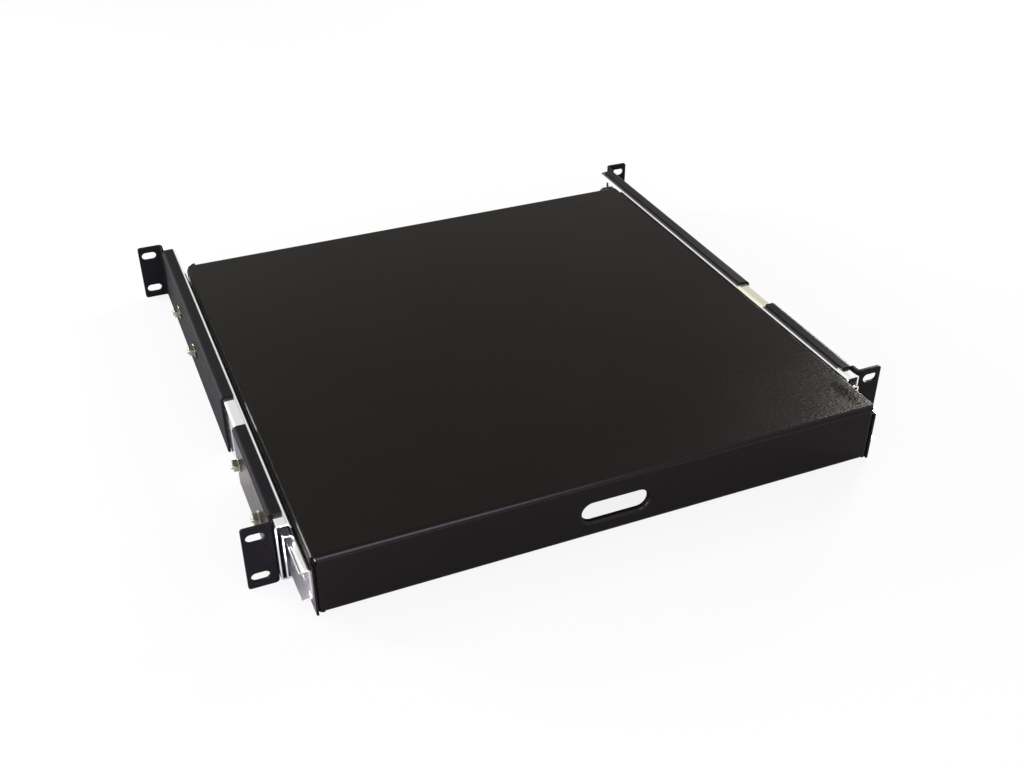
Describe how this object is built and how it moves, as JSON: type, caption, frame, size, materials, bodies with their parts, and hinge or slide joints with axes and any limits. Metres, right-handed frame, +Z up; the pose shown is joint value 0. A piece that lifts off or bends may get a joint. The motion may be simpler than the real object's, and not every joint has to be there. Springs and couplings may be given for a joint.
{
  "type": "sliding rack shelf",
  "caption": "Sliding rack shelf: a folded black steel tray with a hand slot on telescopic ball-bearing slides, with slotted ears front and rear.",
  "frame": {"origin": "middle of the four front ear slots, on the plane where the front ears seat against the rack's front posts", "axes": "+X to the right seen from the front, +Y to the rear of the rack, +Z up"},
  "size_m": [0.4826, 0.4535, 0.0488],
  "materials": {
    "tray_coat": "fine-textured black powder coat on folded steel",
    "bracket_coat": "satin black powder coat on folded steel",
    "zinc_plate": "bright zinc plating on roll-formed steel",
    "cage_steel": "greased plain strip",
    "ball_steel": "polished bearing steel",
    "yellow_zinc": "yellow-passivated zinc on steel",
    "bumper_rubber": "matt black rubber"
  },
  "bodies": {
    "rack_frame": {"left_front_bracket": "bracket_coat", "left_rear_bracket": "bracket_coat", "left_outer_rail": "zinc_plate", "left_rear_bumper": "bumper_rubber", "left_bracket_screws": "yellow_zinc", "left_bracket_washers": "yellow_zinc", "left_bracket_nuts": "yellow_zinc", "right_front_bracket": "bracket_coat", "right_rear_bracket": "bracket_coat", "right_outer_rail": "zinc_plate", "right_rear_bumper": "bumper_rubber", "right_bracket_screws": "yellow_zinc", "right_bracket_washers": "yellow_zinc", "right_bracket_nuts": "yellow_zinc"},
    "tray": {"tray": "tray_coat", "left_inner_rail": "zinc_plate", "left_tray_screws": "zinc_plate", "left_tray_nuts": "zinc_plate", "right_inner_rail": "zinc_plate", "right_tray_screws": "zinc_plate", "right_tray_nuts": "zinc_plate"},
    "left_middle": {"left_middle_rail": "zinc_plate"},
    "left_outer_cage": {"left_outer_ball_cage": "cage_steel", "left_outer_balls": "ball_steel"},
    "left_inner_cage": {"left_inner_ball_cage": "cage_steel", "left_inner_balls": "ball_steel"},
    "right_middle": {"right_middle_rail": "zinc_plate"},
    "right_outer_cage": {"right_outer_ball_cage": "cage_steel", "right_outer_balls": "ball_steel"},
    "right_inner_cage": {"right_inner_ball_cage": "cage_steel", "right_inner_balls": "ball_steel"}
  },
  "joints": [
    {"name": "tray_slide", "type": "slide", "parent": "rack_frame", "child": "tray", "axis": [0, -1, 0], "range_m": [-0.036, 0.354]},
    {"name": "left_middle_slide", "type": "slide", "parent": "rack_frame", "child": "left_middle", "axis": [0, -1, 0], "range_m": [-0.018, 0.177]},
    {"name": "left_outer_cage_slide", "type": "slide", "parent": "rack_frame", "child": "left_outer_cage", "axis": [0, -1, 0], "range_m": [-0.009, 0.0885]},
    {"name": "left_inner_cage_slide", "type": "slide", "parent": "left_middle", "child": "left_inner_cage", "axis": [0, -1, 0], "range_m": [-0.009, 0.0885]},
    {"name": "right_middle_slide", "type": "slide", "parent": "rack_frame", "child": "right_middle", "axis": [0, -1, 0], "range_m": [-0.018, 0.177]},
    {"name": "right_outer_cage_slide", "type": "slide", "parent": "rack_frame", "child": "right_outer_cage", "axis": [0, -1, 0], "range_m": [-0.009, 0.0885]},
    {"name": "right_inner_cage_slide", "type": "slide", "parent": "right_middle", "child": "right_inner_cage", "axis": [0, -1, 0], "range_m": [-0.009, 0.0885]}
  ],
  "couplings": [
    {"joint": "left_middle_slide", "follows": "tray_slide", "ratio": 0.5},
    {"joint": "left_outer_cage_slide", "follows": "tray_slide", "ratio": 0.25},
    {"joint": "left_inner_cage_slide", "follows": "tray_slide", "ratio": 0.25},
    {"joint": "right_middle_slide", "follows": "tray_slide", "ratio": 0.5},
    {"joint": "right_outer_cage_slide", "follows": "tray_slide", "ratio": 0.25},
    {"joint": "right_inner_cage_slide", "follows": "tray_slide", "ratio": 0.25}
  ]
}
